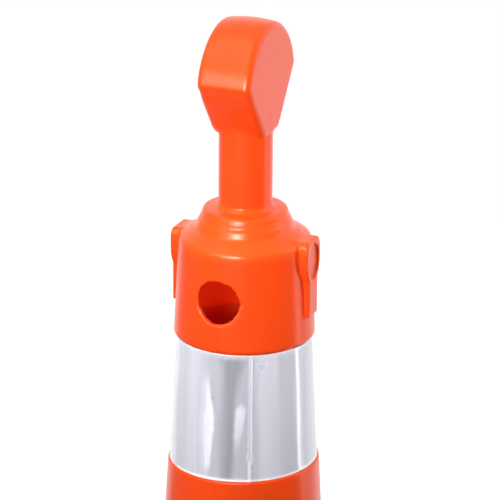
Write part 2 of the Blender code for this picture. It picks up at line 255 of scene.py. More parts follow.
def implicit_mesh(field, xs, ys, zs, probe=0.12, pin=None):
    """Surface nets on a rectilinear grid, each vertex then carried onto field = 0."""
    values = np.empty((len(xs), len(ys), len(zs)), np.float32)
    x, y = np.meshgrid(xs, ys, indexing="ij")
    for k, z in enumerate(zs):
        values[:, :, k] = field(x, y, np.full_like(x, z))
    values[values == 0] = 1e-6
    inside = values < 0
    shape = [n - 1 for n in inside.shape]
    total = np.zeros(shape, np.int8)
    for offset in product((0, 1), repeat=3):
        total += inside[tuple(slice(a, n + a) for a, n in zip(offset, shape))]
    active = (total > 0) & (total < 8)
    cells = np.argwhere(active)
    number = np.full(shape, -1, np.int64)
    number[active] = np.arange(len(cells))
    points = cell_points(values, cells, (xs, ys, zs))
    faces = cell_faces(inside, number)
    size = np.stack([np.diff(axis)[i] for axis, i in zip((xs, ys, zs), cells.T)], 1)
    limit = size.min(1) * 0.9

    def gradient(points):
        slope = np.empty_like(points)
        for axis in range(3):
            shift = np.zeros(3)
            shift[axis] = probe
            slope[:, axis] = (field(*(points + shift).T) - field(*(points - shift).T)) / (2 * probe)
        return slope

    def project(points, passes):
        for _ in range(passes):
            slope = gradient(points)
            factor = field(*points.T) / np.maximum((slope * slope).sum(1), 0.05)
            move = slope * factor[:, None]
            length = np.linalg.norm(move, axis=1)
            scale = np.minimum(1, limit / np.maximum(length, 1e-9))
            points = points - move * scale[:, None]
        return points

    points = project(points, PROJECTIONS)
    edges = np.concatenate([faces[:, [k, (k + 1) % 4]] for k in range(4)])
    for _ in range(RELAXATIONS):
        total = np.zeros_like(points)
        count = np.zeros(len(points))
        for here, there in (edges.T, edges.T[::-1]):
            np.add.at(total, here, points[there])
            np.add.at(count, here, 1)
        move = (total / np.maximum(count, 1)[:, None] - points) * 0.5
        # only slide along the surface
        normal = gradient(points)
        normal /= np.maximum(np.linalg.norm(normal, axis=1), 1e-6)[:, None]
        move -= normal * (move * normal).sum(1)[:, None]
        if pin is not None:
            move[pin(points)] = 0
        points = project(points + move, 2)
    return points, faces


def boundary_loops(faces):
    """Ordered vertex loops along edges that only one face uses, running as the faces do."""
    edges = dict.fromkeys((face[i], face[(i + 1) % len(face)])
                          for face in faces for i in range(len(face)))
    following = {a: b for a, b in edges if (b, a) not in edges}
    loops = []
    while following:
        start = next(iter(following))
        loop = [start]
        current = following.pop(start)
        while current != start and current in following:
            loop.append(current)
            current = following.pop(current)
        loops.append(loop)
    return loops


class Builder:
    """Collects the vertices (heights above the ground) and faces of one mesh.

    A face's tag is its material slot.
    """

    def __init__(self):
        self.points, self.faces, self.tags = [], [], []

    def add_points(self, points):
        first = len(self.points)
        self.points.extend(map(tuple, points))
        return list(range(first, len(self.points)))

    def add_faces(self, faces, tag=0):
        """tag is one value, or one for each face."""
        self.faces.extend(tuple(int(k) for k in face) for face in faces)
        self.tags.extend(np.broadcast_to(tag, len(faces)).tolist())

    def skin(self, rings, tag=0):
        """Quads between each ring and the next."""
        for a, b in zip(rings, rings[1:]):
            self.add_faces([(b[i - 1], b[i], a[i], a[i - 1])
                            for i in [*range(1, len(a)), 0]], tag)

    def bridge(self, a, b, tag=0):
        """Joins by angle two loops of different counts, both counter-clockwise about Z."""

        def angle(k):
            return math.atan2(self.points[k][1], self.points[k][0])

        def from_lowest(loop):
            first = min(range(len(loop)), key=lambda i: angle(loop[i]))
            loop = loop[first:] + loop[:first]
            return loop + loop[:1], [angle(k) for k in loop] + [angle(loop[0]) + 2 * math.pi]

        a, angles_a = from_lowest(a)
        b, angles_b = from_lowest(b)
        i = j = 0
        triangles = []
        while i < len(a) - 1 or j < len(b) - 1:
            if j >= len(b) - 1 or (i < len(a) - 1 and angles_a[i + 1] <= angles_b[j + 1]):
                triangles.append((b[j], a[i + 1], a[i]))
                i += 1
            else:
                triangles.append((b[j], b[j + 1], a[i]))
                j += 1
        self.add_faces(triangles, tag)

    def object(self, name, materials):
        mesh = bpy.data.meshes.new(name)
        mesh.from_pydata((np.array(self.points, float) * MM).tolist(), [], self.faces)
        mesh.polygons.foreach_set("use_smooth", [True] * len(mesh.polygons))
        for material in materials:
            mesh.materials.append(material)
        mesh.polygons.foreach_set("material_index", self.tags)
        mesh.validate()
        mesh.update()
        piece = bpy.data.objects.new(name, mesh)
        bpy.context.scene.collection.objects.link(piece)
        return piece


def circle(radius, z):
    """A ring about Z; radius is one value, or one for each vertex."""
    angle = 2 * np.pi * np.arange(AROUND) / AROUND
    return np.stack([radius * np.cos(angle), radius * np.sin(angle), np.full(AROUND, z)], 1)


# ------------------------------------------------------------------ cap
def head_outline(inset):
    """The head's (y, z) outline drawn in by inset: an arch, two flanks and a blunt foot."""
    half = math.sqrt(ARCH_R ** 2 - (CREASE_Z - ARCH_Z) ** 2)
    flank = half * math.cos(LEAN) - CREASE_Z * math.sin(LEAN) - inset
    radius = ARCH_R - inset
    start = math.acos((flank + ARCH_Z * math.sin(LEAN)) / radius) - LEAN
    count = 60
    angles = [start + (math.pi - 2 * start) * k / count for k in range(count + 1)]
    arch = [(radius * math.cos(a), ARCH_Z + radius * math.sin(a)) for a in angles]
    knee_z = (KNEE_Y * math.cos(LEAN) - flank) / math.sin(LEAN)
    right = [(0.0, 154.0 + inset), (7.0, 154.3 + inset),
             (max(KNEE_Y - 4.5 - inset * 0.3, 8.0), 155.4 + inset * 0.8),
             (KNEE_Y - inset * 0.45, knee_z)]
    return arch + [(-y, z) for y, z in reversed(right[1:])] + right


# (radius, z) of the outside, downwards from the neck
OUTER_SECTION = [
    (0, 172), (NECK_R, 172), (NECK_R, 101.0), (NECK_R, 100.2), (19.85, 99.8), (20.15, 99.4),
    (20.7, 98.9), (21.25, 98.4), (21.45, 98.0), (21.4, 97.5), (21.3, 97.0),
    (23.6, 96.9), (26.6, 96.7), (29.0, 96.4), (30.2, 96.1), (30.8, 95.7), (31.2, 94.9),
    (31.5, 94.0), (31.8, 93.1), (32.0, 92.5), (32.0, 92.1), (31.75, 91.8), (31.8, 91.5),
    (32.5, 91.15), (32.9, 90.7), (33.1, 90.1), (33.3, 89.3), (33.55, 88.7), (34.0, 88.1),
    (34.55, 87.3), (34.95, 86.3), (35.3, 85.2), (35.6, 84.2), (35.95, 83.1), (36.35, 82.1),
    (36.95, 81.3), (37.9, 80.75), (38.9, 80.3), (40.0, 79.8), (42.0, 78.6), (44.0, 77.3),
    (45.8, 76.3), (47.2, 75.4), (47.95, 74.7), (48.35, 73.8), (48.65, 72.8), (48.85, 71.5),
    (48.95, 70.2), (50.55, 36.0), (52.3, 1.2), (52.35, 0.4), (52.15, -0.15), (51.2, -0.3),
    (49.55, -0.3), (RECESS_LOW_R, -100.0), (RECESS_LOW_R, -110), (0, -110)]

# (radius, z) of the inside, downwards
INNER_SECTION = [
    (0, 150), (NECK_R - WALL - 2, 150), (NECK_R - WALL, 147), (NECK_R - WALL, 98), (19.3, 94.2),
    (27.4, 91.6), (29.4, 87.0), (33.4, 82.2), (37.0, 77.8), (43.6, 73.2), (45.5, 70.0),
    (47.4, 27), (47.6, 4), (46.5, -3), (51.3, -100), (51.3, -110), (0, -110)]

# (y, z) of half a lug and its rib, downwards
LUG_SIDE = [
    (9.4, LUG_TOP + 0.2), (11.5, LUG_TOP - 0.9), (12.8, LUG_TOP - 3.4), (13.2, 68.0),
    (13.1, 61.5), (12.8, 57.6), (12.1, 54.6), (11.1, 52.0), (9.9, 49.8), (9.1, 48.4),
    (RIB_HALF + 0.1, 46.6), (RIB_HALF, 42.0), (RIB_HALF, RIB_LOW + 0.6), (RIB_HALF - 0.6, RIB_LOW)]

OUTER = Outline(OUTER_SECTION, low=(0, -64), high=(66, 178), step=0.2, soft=0.42)
INNER = Outline(INNER_SECTION, low=(0, -64), high=(60, 160), step=0.4, soft=0.8)
HEAD = Outline(head_outline(HEAD_EDGE), low=(-54, 140), high=(54, 248), step=0.2, soft=0.8)
LUG = Outline(LUG_SIDE + [(-y, z) for y, z in reversed(LUG_SIDE)],
              low=(-2, 10), high=(60, 88), step=0.2, soft=0.3)


def rounded_slab(outline, across, edge):
    """Distance to a flat shape from its outline and its faces, both inset by the edge radius."""
    return (np.minimum(np.maximum(outline, across), 0)
            + np.hypot(np.maximum(outline, 0), np.maximum(across, 0)) - edge)


def head_field(x, y, z):
    # the crease runs a little higher at the -Y end
    lift = 1.5 * smooth(-24, -42, y) * smooth(182, 194, z) * smooth(222, 204, z)
    # the arch is crowned across its thickness
    crown = 2.1 * np.clip(1 - ((x - 0.5) / 21.0) ** 2, 0, 1) * smooth(219, 234, z)
    return rounded_slab(HEAD(y, z - lift) - crown, np.abs(x) - (HEAD_HALF - HEAD_EDGE), HEAD_EDGE)


def lug_field(x, y, z):
    """U-shaped pads that run down into narrower ribs, with one flat outer face."""
    shift = np.where(x > 0, 0.9, -0.6) * smooth(56, 72, z)
    edge = 1.0 + 1.2 * smooth(70, 76, z)
    side = np.abs(x)
    lug = rounded_slab(LUG(np.abs(y), z - shift) + edge, side - (LUG_X - edge), edge)
    return soft_max(lug, 36.0 - side, 1.0)


def outer_field(x, y, z):
    distance = soft_min(OUTER(np.hypot(x, y), z), head_field(x, y, z), 1.7)
    distance = soft_min(distance, lug_field(x, y, z), 0.9 + 1.2 * smooth(70, 77, z))
    # shallow oval recess in each lug's outer face
    oval = np.hypot(y / 10.0, (z - 61.0) / 13.8)
    dimple = soft_max((oval - 1.0) * 10.0, (LUG_X - 1.7) - np.abs(x), 1.0)
    distance = soft_max(distance, -dimple, 0.9)
    # parting line: a fine raised bead round the plane x = 0
    bead = 0.06 + 0.10 * smooth(106, 99, z) * smooth(26, 66, z)
    bead = bead * (1 + 0.45 * noise_line(z / 7.0, 3.0))
    return distance - np.where(z > -2, bead, 0) * bell(x, 0.24)


def cap_field(x, y, z):
    distance = np.maximum(outer_field(x, y, z), -INNER(np.hypot(x, y), z))
    # bar hole with a slightly uneven edge, shifted on the -Y side
    across, up = x - np.where(y < 0, -1.6, 0.0), z - HOLE_Z
    angle = np.arctan2(up, across) + np.where(y > 0, 2.0, 0.0)
    wobble = (0.22 * np.sin(3 * angle + 0.7) + 0.16 * np.sin(7 * angle + 1.9)
              + 0.10 * np.sin(13 * angle) + 0.08 * np.sin(23 * angle + 0.4))
    return soft_max(distance, -(np.hypot(across, up) - (HOLE_R + wobble)), 0.5)


def cap_spacing_x(x):
    if -0.9 < x < 0.75:                 # parting line
        return 0.22
    return 0.7 if 47.5 < abs(x) < 55 else 1.55


def cap_spacing_z(z):
    for top, spacing in ((-6, 2.9), (66, 1.56), (104, 0.68), (146, 2.6)):
        if z < top:
            return spacing
    return 1.42


def add_cap(shell):
    """Adds the cap's mesh; returns its inner and outer boundary loops at CUT_Z."""
    points, faces = implicit_mesh(
        cap_field,
        xs=steps(-57, 57, cap_spacing_x),
        ys=steps(-54, 54, lambda y: 0.75 if 9.5 < abs(y) < 13.5 else 1.55),
        zs=steps(CUT_Z, 242.0, cap_spacing_z),
        pin=lambda p: (np.abs(p[:, 0]) < 1.4) | (p[:, 2] < -44))
    points[:, 2] += CAP
    on_inside = INNER(np.hypot(points[:, 0], points[:, 1]), points[:, 2] - CAP) < 0.6
    inner = on_inside[faces].all(1)
    shell.add_points(points)
    shell.add_faces(faces[~inner], 0)
    shell.add_faces(faces[inner], 1)
    loops = sorted(boundary_loops(faces), key=len)[-2:]
    loops.sort(key=lambda loop: np.hypot(points[loop[0], 0], points[loop[0], 1]))
    widening = RECESS_LOW_R - RECESS_TOP_R
    inner_r = (RECESS_TOP_R - WALL
               + (INNER_TOP_Z - CUT_Z) * (widening / (RECESS_H + INNER_TOP_Z)))
    outer_r = RECESS_TOP_R - CUT_Z * (widening / RECESS_H)
    for loop, radius in zip(loops, (inner_r, outer_r)):
        for k in loop:
            x, y, _ = shell.points[k]
            scale = radius / math.hypot(x, y)
            shell.points[k] = (x * scale, y * scale, CUT_Z + CAP)

    def counter_clockwise(loop):
        corners = [shell.points[k] for k in loop]
        area = sum(corners[i - 1][0] * corners[i][1] - corners[i][0] * corners[i - 1][1]
                   for i in range(len(loop)))
        return loop if area > 0 else loop[::-1]

    return [counter_clockwise(loop) for loop in loops]


# ------------------------------------------------------------------ body
def film_tilt(x, y):
    """Rise of the upper film's low edge over its mean; it lies over a degree out of level."""
    return 1.3 * (x * 0.9295 + y * 0.3688) / np.maximum(np.hypot(x, y), 1e-6)


def body_radius(z):
    """Outer radius below the upper recess."""
    if z > TAPER_LOW:
        return 56.6 + 1.9 * (-100 - z) / 34.0
    return 58.5 + 0.05 * (TAPER_LOW - z)


LOWER_BOTTOM, LOWER_TOP = [z - CAP for z in sleeve_span(LOWER_SLEEVE)]
LOWER_BOTTOM_R, LOWER_TOP_R = body_radius(LOWER_BOTTOM), body_radius(LOWER_TOP)

# (radius, z) of the step under the upper recess
STEP = [(54.2, -99.0), (54.4, -99.8), (54.9, -100.0), (55.6, -100.05), (56.1, -100.25),
        (56.45, -100.7), (56.62, -101.5), (56.75, -103.5)]
# (radius, z) offsets of the lower recess's rims from the body's radius and the recess's ends
TOP_RIM = [(-0.05, 2.0), (-0.15, 0.9), (-0.5, 0.3), (-1.1, 0), (-1.8, -0.05),
           (-LOWER_RECESS, -0.5)]
BOTTOM_RIM = [(-LOWER_RECESS, 0.6), (-1.8, 0.1), (-1.1, 0), (-0.5, -0.3), (-0.1, -0.9),
              (0.05, -2.0)]
# (width over flats, corner radius, z above the ground) of the octagonal foot, from its top inwards
FOOT = [(212.0, 20.0, 10.0), (228.0, 12.0, 10.0), (232.2, 9.0, 9.9), (234.4, 8.5, 9.3),
        (235.6, 8.2, 8.2), (236.0, 8.0, 6.5), (236.0, 8.0, 2.2), (235.5, 8.0, 0.9),
        (234.4, 8.4, 0.2), (232.6, 9.0, 0.0)]


def rounded_octagon(flats, corner):
    """Radius at each of a ring's angles, corners at odd multiples of 22.5 degrees."""
    angle = 2 * np.pi * np.arange(AROUND) / AROUND
    # angle from the middle of the nearest flat
    off = np.abs((angle + np.pi / 8) % (np.pi / 4) - np.pi / 8)
    half = flats / 2
    centre_x = half - corner
    centre_y = centre_x * math.tan(math.pi / 8)
    centre_r = math.hypot(centre_x, centre_y)
    turn = math.pi / 8 - off
    rounded = (centre_r * np.cos(turn)
               + np.sqrt(np.maximum(corner ** 2 - (centre_r * np.sin(turn)) ** 2, 0)))
    return np.where(off > math.atan2(centre_y, half), rounded, half / np.cos(off))


def body_profile():
    """(radius, z) of the outside, from the cap's mesh down to the foot."""
    widening = (RECESS_LOW_R - RECESS_TOP_R) / RECESS_H
    profile = [(RECESS_TOP_R - z * widening, z) for z in (-53, -62, -74, -86, -95)]
    profile += STEP
    profile += [(body_radius(z), z) for z in (-112, -123, TAPER_LOW, -146, -160, -174, -188)]
    profile += [(LOWER_TOP_R + r, LOWER_TOP + z) for r, z in TOP_RIM]
    profile += [(LOWER_TOP_R - LOWER_RECESS + (LOWER_BOTTOM_R - LOWER_TOP_R) * k / 5.0,
                 LOWER_TOP - 100.0 * k / 5.0) for k in (1, 2, 3, 4)]
    profile += [(LOWER_BOTTOM_R + r, LOWER_BOTTOM + z) for r, z in BOTTOM_RIM]
    z = LOWER_BOTTOM - 20
    while z > -CAP + 40:
        profile.append((body_radius(z), z))
        z -= 30
    # fillet onto the foot
    radius, fillet = body_radius(-CAP + 16), 5.0
    profile += [(radius, -CAP + 22), (radius + 0.3, -CAP + 17)]
    for k in range(1, 7):
        angle = math.pi / 2 * k / 6
        profile.append((radius + 0.6 + fillet * (1 - math.cos(angle)),
                        -CAP + 15.0 - fillet * math.sin(angle)))
    return profile


def inner_profile():
    """(radius, z above the ground) from the underside up the inner wall."""
    foot_r = body_radius(-CAP) - WALL
    profile = [(foot_r + 1.2, 0.0), (foot_r + 0.2, 0.4), (foot_r, 1.4)]
    z = 30.0
    while z < CAP - 200 - 108:
        profile.append((body_radius(z - CAP) - WALL, z))
        z += 60.0
    upper = [(LOWER_BOTTOM_R - WALL, LOWER_BOTTOM - 5),
             (LOWER_BOTTOM_R - LOWER_RECESS - WALL, LOWER_BOTTOM + 3),
             (LOWER_TOP_R - LOWER_RECESS - WALL, LOWER_TOP - 3),
             (LOWER_TOP_R - WALL, LOWER_TOP + 5),
             (56.1, -150), (53.6, -104), (51.2, -97), (50.06, -75)]
    return profile + [(r, z + CAP) for r, z in upper]


def build_post(materials):
    shell = Builder()
    inner_loop, outer_loop = add_cap(shell)
    rings = []
    for radius, z in body_profile():
        ring = circle(radius, z + CAP)
        # the step follows the film's tilted edge
        near_step = smooth(-84, -96, z) * smooth(-130, -108, z)
        ring[:, 2] += film_tilt(ring[:, 0], ring[:, 1]) * near_step
        rings.append(shell.add_points(ring))
    shell.bridge(outer_loop, rings[0])
    foot = [shell.add_points(circle(rounded_octagon(flats, corner), z))
            for flats, corner, z in FOOT]
    inner = [shell.add_points(circle(radius, z)) for radius, z in inner_profile()]
    shell.skin(rings + foot + inner[:3], 0)
    shell.skin(inner[2:], 1)
    shell.bridge(inner[-1], inner_loop, 1)
    return shell.object("post_shell", materials)


# ------------------------------------------------------------------ film
# On the film, turn is degrees from FRONT, positive towards +X, and drop is mm below the top edge.

# (turn, factor) of the lengthwise bands: painted reflection, the film's brightness round the post
REFLECTION_BANDS = [
    (-180, 0.90), (-150, 0.86), (-120, 0.92), (-90, 0.92), (-66.8, 1.03), (-56.6, 0.88),
    (-48.6, 0.95), (-40.7, 0.94), (-26.2, 0.77), (-22, 0.76), (-2.8, 0.78), (2.9, 0.82),
    (10.1, 0.87), (14, 0.98), (18, 1.02), (24, 1.0), (28.5, 0.97), (31, 0.89), (43, 0.89),
    (52, 0.90), (59.9, 0.75), (75, 0.78), (100, 0.86), (140, 0.92), (180, 0.90)]

# painted reflection streaks, each by (drop, turn) knots of its edge of lesser turn, then of the
# other
DARK_REFLECTION_STREAKS = ([(0, -21.5), (8, -20.5), (21, -18.6), (37, -19.0), (68, -20.0), (92, -18.4)],
        [(0, 2.8), (6, 2.4), (14, -2.0), (24, -5.2), (36, -6.2), (67, -7.6), (91, -8.5)])
DARK_REFLECTION_CORE = ([(0, -16), (8, -16), (30, -14.5), (92, -14.0)],
        [(0, -2), (20, -7.0), (36, -7.4), (91, -8.6)])
BRIGHT_REFLECTION_WEDGE = ([(14, -31.0), (31, -32.0), (55, -33.6), (79, -33.6), (92, -32.6)],
         [(14, -30.2), (24, -29.5), (31, -28.7), (38, -27.2), (44, -25.2), (51, -24.0),
          (60, -24.6), (73, -25.8), (92, -27.8)])
REFLECTION_VEIL = ([(20, -35.0), (45, -36.5), (92, -37.0)], [(20, -30.5), (45, -27.5), (92, -30.0)])
BRIGHT_REFLECTION_PATCH = ([(36, -5.4), (42, -6.6), (52, -7.6), (71, -8.2)],
         [(36.0, 2.4), (42.5, 2.0), (48.0, 0.2), (59, -1.8), (71, -4.2), (80, -6.0)])

TRIANGLE = [(8.6, 7.6), (17.2, 6.6), (12.6, 13.6)]      # (arc from FRONT, drop)


def strip(turn, drop, edges, soft):
    """1 between a streak's edges, fading over soft degrees."""
    left, right = (curve(drop, knots) for knots in edges)
    return (smooth(left - soft / 2, left + soft / 2, turn)
            * smooth(right + soft / 2, right - soft / 2, turn))


def triangle_distance(x, y):
    """Signed distance to the triangular mark, negative inside."""
    nearest, side = np.full(x.shape, 1e9), np.full(x.shape, -1e9)
    for (x0, y0), (x1, y1) in zip(TRIANGLE, TRIANGLE[1:] + TRIANGLE[:1]):
        dx, dy = x1 - x0, y1 - y0
        along = np.clip(((x - x0) * dx + (y - y0) * dy) / (dx * dx + dy * dy), 0, 1)
        nearest = np.minimum(nearest, np.hypot(x - x0 - along * dx, y - y0 - along * dy))
        side = np.maximum(side, ((x - x0) * dy - (y - y0) * dx) / math.hypot(dx, dy))
    return np.where(side < 0, -nearest, nearest)


def loop_distance(turn, drop):
    """Roughly the distance from the small oval loop near the film's lower edge."""
    return (np.hypot((turn - 5.0) * ARC / 2.1, (drop - 79.0) / 3.7) - 1) * 2.4


def painted_reflection_and_edge_tone(turn, drop, seed):
    """Grey factor: painted reflections (bands, dark and bright streaks, patches, a glint) and the
    pale edges.
    """
    tone = curve(turn + 0.8 * noise_plane(turn / 8.0, drop / 30.0, seed + 6), REFLECTION_BANDS)
    tone = (tone + 0.020 * noise_plane(turn / 3.3, drop / 60.0, seed)
            + 0.014 * noise_plane(turn / 1.3, drop / 35.0, seed + 3))
    # the streaks' edges wander
    bent = (turn + 0.9 * noise_plane(drop / 13.0, turn / 20.0, seed + 12)
            + 0.35 * noise_plane(drop / 4.5, turn / 12.0, seed + 13))
    low = drop + 1.6 * noise_plane(turn / 2.6, drop / 9.0, seed + 14)
    # painted reflection: darker streaks down the film
    dark = strip(bent, low, DARK_REFLECTION_STREAKS, soft=7.0)
    core = strip(bent, low, DARK_REFLECTION_CORE, soft=5.0)
    tone = tone * (1 - (0.25 * dark + 0.13 * core) * smooth(1.5, 6, low))
    # painted reflection: a bright wedge in a fainter veil, and a fine bright line beside it
    wedge = strip(bent, low, BRIGHT_REFLECTION_WEDGE, soft=2.4)
    wedge = np.maximum(wedge * (0.92 + 0.12 * noise_plane(turn / 2.2, drop / 14.0, seed + 17)),
                       0.42 * strip(bent, low, REFLECTION_VEIL, soft=6.5))
    tone = tone + (1.33 - tone) * wedge * smooth(10, 30, low) * smooth(99, 86, low)
    tone = tone + 0.06 * bell(turn + 40.8, 0.9) * smooth(62, 72, low)
    # painted reflection: a bright patch with a curved upper end, and a painted glint in it
    brow = low - 0.16 * (bent + 1.6) ** 2
    patch = strip(bent, low, BRIGHT_REFLECTION_PATCH, soft=3.2) * smooth(35.5, 40.5, brow) * smooth(84, 52, low)
    glint = bell(bent + 2.4, 2.3) * bell(low - 44.5, 5.5)
    tone = tone + (1.16 - tone) * patch + 0.10 * glint
    # pale top and bottom edges
    fray = 0.5 * noise_line(turn / 5.0, seed + 21)
    tone = tone + 0.14 * smooth(4.4 + fray, 1.8, drop) + 0.10 * smooth(95.0, 97.2, drop)
    pale = smooth(-42, -34, turn) * smooth(3.5, -4, turn) + smooth(50, 54, turn)
    return tone + 0.26 * pale * smooth(94.9 + fray, 96.0 + fray, drop)


def mark_tone(rgb, turn, drop):
    """Adds the small marks of the upper wrap to its colour factors; the triangle gets painted
    highlight and shade.
    """

    def scale(factor):
        return factor[..., None]

    # painted highlight along the triangle's raised rim and painted shade in its hollow
    edge = triangle_distance(turn * ARC, drop)
    rgb *= scale(1 + 0.11 * bell(edge - 0.2, 0.6) - 0.08 * smooth(-0.4, -1.2, edge))
    # pale diagonal
    along = np.clip((drop - 14.0) / 20.0, 0, 1)
    diagonal = (bell(turn - 16.6 + 5.2 * along, 1.5)
                * smooth(13, 17, drop) * smooth(50, 30, drop))
    rgb *= scale(1 + 0.05 * diagonal)
    # dark speck with a faint smudge below it
    speck = bell((turn + 26.3) * ARC, 0.95) * bell(drop - 34.6, 1.3)
    smudge = bell((turn + 26.0) * ARC, 1.7) * bell(drop - 40.2, 1.7)
    rgb *= (1 - scale(speck) * np.array([0.27, 0.28, 0.33])
            - scale(smudge) * np.array([0.03, 0.07, 0.14]))
    rgb *= scale(1 + 0.30 * bell(loop_distance(turn, drop), 0.55))
    # broken upright line
    flecks = (bell((turn - 2.7) * ARC, 0.30) * smooth(0.0, 0.35, noise_line(drop / 1.9, 11.0))
              * smooth(38, 41, drop) * smooth(76, 70, drop))
    rgb *= scale(1 + 0.20 * flecks)


def film_columns(length):
    """Positions along the strip, closest at its overlapping ends."""

    def spacing(x):
        if x < 4.0 or x > length - 6.0:
            return 0.26
        return 0.7 if x < 54 or x > length - 76 else 1.35

    return steps(0, length, spacing)


def film_rows(height):
    """Positions down the strip, closest at its edges."""

    def spacing(x):
        if x < 1.5 or x > height - 2.2:
            return 0.32
        return 0.7 if 4 < x < 16 or 73 < x < 86 else 1.25

    return steps(0, height, spacing)


def build_film(name, node, recess, materials, seed, seam, marked):
    """A thin closed strip that overlaps itself at the seam, rippled, with rolled rims."""
    bottom, top = sleeve_span(node)
    bottom, top = bottom + 0.35, top - 1.55
    height = top - bottom
    top_r, low_r = recess
    middle = (top_r + low_r) / 2
    overlap = OVERLAP / middle
    total = 2 * math.pi + overlap
    columns, rows = film_columns(total * middle), film_rows(height)
    wrap, down = np.meshgrid(columns / columns[-1] * total, rows / rows[-1], indexing="ij")
    drop = height * down
    # the flap's cut edge wanders, more so low down, and is trimmed back near the foot
    wander = 0.30 * noise_line(drop / 2.3, seed) + 0.35 * noise_line(drop / 8.0, seed + 4)
    wander = wander * (0.25 + 0.75 * smooth(26, 44, drop)) - 0.8 * smooth(82, 86, drop)
    wrap = wrap + wander / middle * smooth(total - 5.5 / middle, total, wrap)
    angle = seam + wrap - overlap / 2 - math.radians(0.7) * down
    shift = 0.0 if marked else 47.0
    turn = (np.degrees(angle) + 90.0 - FRONT + 180.0 + shift) % 360.0 - 180.0
    z = top - drop
    if marked:
        z = z + film_tilt(np.cos(angle), np.sin(angle)) * smooth(84, 97, drop)

    # inner face: it climbs onto the strip's first end, and ripples
    climb = 2 * math.pi + 0.10 * noise_line(drop / 3.1, seed + 8) / middle
    lift = 0.66 * smooth(climb - 0.008, climb + 0.006, wrap)
    arc = angle * 53.0
    ripple = (0.085 * noise_plane(arc / 9.0, down * 2.2, seed)
              + 0.05 * noise_plane(arc / 4.0, down * 3.1, seed + 5))
    ripple = ripple * (smooth(0.0, 0.05, down) * smooth(1.0, 0.95, down)) + 0.06
    inner = top_r + (low_r - top_r) * down + 0.32 + lift + np.maximum(ripple, -0.05)

    # outer face: lumps and beads at the flap, the marks' relief, and the rims
    lump = (smooth(total - 3.2 / middle, total - 2.0 / middle, wrap)
            * (0.08 + 0.10 * np.abs(noise_plane(drop / 2.6, wrap * 60, seed + 2)))
            * (0.4 + 0.6 * smooth(28, 44, drop)))
    outer = inner + FILM + lump
    outer = outer + 0.16 * (bell((wrap - total) * middle, 0.5)
                            + 0.7 * bell((wrap - climb) * middle, 0.45))
    if marked:
        edge = triangle_distance(turn * ARC, drop)
        outer = outer + 0.22 * bell(edge - 0.2, 0.8) - 0.20 * smooth(-0.3, -1.6, edge)
        outer = outer + 0.32 * bell(loop_distance(turn, drop), 0.7)
    outer = outer + 0.22 * (bell(drop, 0.9) + bell(height - drop, 1.2))

    tone = np.repeat(painted_reflection_and_edge_tone(turn, drop, seed)[..., None], 3, axis=-1)
    if marked:
        mark_tone(tone, turn, drop)
    # the flap is paler, most of all along its edge and near the foot
    flap = smooth(climb - 0.006, climb + 0.006, wrap)
    line = bell((wrap - total + 0.9 / middle) * middle, 0.55)
    pale = 0.98 + 0.32 * np.maximum(line, smooth(80, 84, drop))
    tone = tone + (pale[..., None] - tone) * (flap * 0.92)[..., None]

    strip_mesh = film_mesh([np.stack([r * np.cos(angle), r * np.sin(angle), z], 2)
                            for r in (outer, inner)], rows, height)
    piece = strip_mesh.object(name, materials)
    colors = np.ones((2 * drop.size, 4))
    colors[:, :3] = np.concatenate([tone.reshape(-1, 3), np.full((drop.size, 3), 0.9)])
    attribute = piece.data.attributes.new("tone", "FLOAT_COLOR", "POINT")
    attribute.data.foreach_set("color", colors.ravel())
    return piece


def film_mesh(surfaces, rows, height):
    """Closes two grids of points, outer and inner, into a strip."""
    mesh = Builder()
    outer, inner = [np.array(mesh.add_points(points.reshape(-1, 3))).reshape(points.shape[:2])
                    for points in surfaces]

    def quads(grid):
        return np.stack([grid[:-1, :-1], grid[1:, :-1], grid[1:, 1:], grid[:-1, 1:]],
                        -1).reshape(-1, 4)

    # the rims of the outer face take the cut edge's material
    place = 0.5 * (rows[:-1] + rows[1:]) / rows[-1] * height
    rim = ((place < 1.0) | (place > height - 1.5)).astype(int)
    mesh.add_faces(quads(outer)[:, ::-1], np.tile(rim, len(outer) - 1))
    mesh.add_faces(quads(inner), 0)
    # top and bottom edges, then the two ends
    for out, into in ((outer, inner), (outer.T, inner.T)):
        for end, order in ((0, 1), (-1, -1)):
            edge = np.stack([out[:-1, end], out[1:, end], into[1:, end], into[:-1, end]], -1)
            mesh.add_faces(edge[:, ::order], 1)
    return mesh


# ------------------------------------------------------------------ rubber base
def octagon_distance(x, y, half):
    square = np.maximum(np.abs(x), np.abs(y))
    diamond = (np.abs(x) + np.abs(y)) * math.sqrt(0.5)
    return soft_max(square, diamond, 3.0) - half


